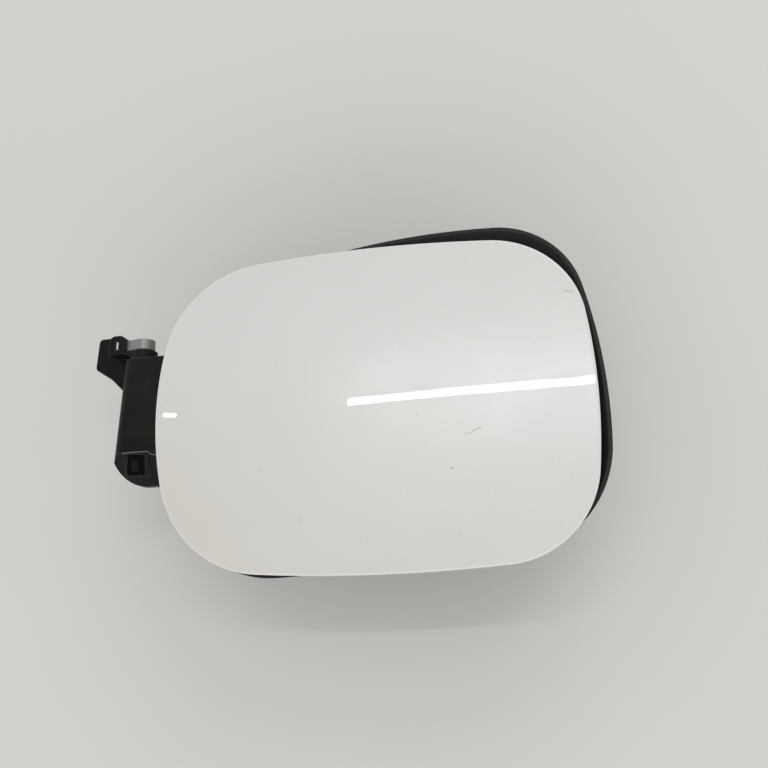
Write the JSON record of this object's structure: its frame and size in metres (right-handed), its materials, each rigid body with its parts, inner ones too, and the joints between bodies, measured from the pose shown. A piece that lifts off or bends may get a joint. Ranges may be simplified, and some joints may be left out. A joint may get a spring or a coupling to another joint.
{
  "type": "car fuel door",
  "caption": "Car fuel door: crowned painted flap on a gooseneck hinge with a return spring, over a plastic filler bowl with rubber rim, neck collar and lock bolt.",
  "frame": {"origin": "centre of the filler-neck bore on the plane of the base ring", "axes": "+Z outward through the flap, +X from the hinge to the free edge, +Y along the hinge pin, up on the car"},
  "size_m": [0.2303, 0.1451, 0.078],
  "materials": {
    "body_paint": "light silver-white clear-coated body paint, lightly dusty, with faint scuffs",
    "bowl_plastic": "black moulded plastic, fine grain",
    "carrier_plastic": "black glass-filled plastic, satin",
    "plug_plastic": "black plastic, semi-gloss",
    "lock_plastic": "dark grey-black moulded plastic",
    "seal_rubber": "black soft rubber, satin",
    "collar_rubber": "black rubber, matt",
    "buffer_rubber": "black rubber, matt",
    "gasket_foam": "dark closed-cell foam rubber",
    "spring_steel": "bare spring strip, dull grey",
    "zinc_steel": "zinc-plated steel",
    "pin_steel": "ground steel",
    "bolt_steel": "turned steel",
    "clip_steel": "phosphated dark spring steel",
    "clip_plastic": "natural nylon"
  },
  "bodies": {
    "housing": {"filler_bowl": "bowl_plastic", "rim_seal": "seal_rubber", "neck_collar": "collar_rubber", "collar_clamp": "zinc_steel", "pin_end_plug": "plug_plastic", "return_spring": "spring_steel", "open_stop": "buffer_rubber", "lock_case": "lock_plastic", "lock_cover": "lock_plastic", "lock_gasket": "gasket_foam", "lock_screw_1": "zinc_steel", "lock_screw_2": "zinc_steel", "body_clip_1": "clip_steel", "body_clip_2": "clip_steel", "body_clip_3": "clip_steel", "body_clip_4": "clip_steel", "stud_sleeve_1": "zinc_steel", "stud_sleeve_2": "zinc_steel"},
    "flap": {"flap_skin": "body_paint", "flap_carrier": "carrier_plastic", "hinge_pin": "pin_steel", "pin_washer": "pin_steel", "lock_striker": "zinc_steel", "striker_rivet_1": "zinc_steel", "striker_rivet_2": "zinc_steel", "flap_buffer_1": "buffer_rubber", "flap_buffer_2": "buffer_rubber", "skin_clip_1": "clip_plastic", "skin_clip_2": "clip_plastic", "skin_clip_3": "clip_plastic", "skin_clip_4": "clip_plastic"},
    "lock_bolt": {"lock_pin": "bolt_steel"}
  },
  "joints": [
    {"name": "flap_hinge", "type": "hinge", "parent": "housing", "child": "flap", "pos_m": [-0.1066, 0, 0.0607], "axis": [0, -1, 0], "range_deg": [0, 85], "stiffness_Nm_per_rad": 0.08, "springref_deg": -17.19, "deforming": ["return_spring"]},
    {"name": "lock_slide", "type": "slide", "parent": "housing", "child": "lock_bolt", "axis": [-1, 0, 0], "range_m": [0, 0.008]}
  ]
}
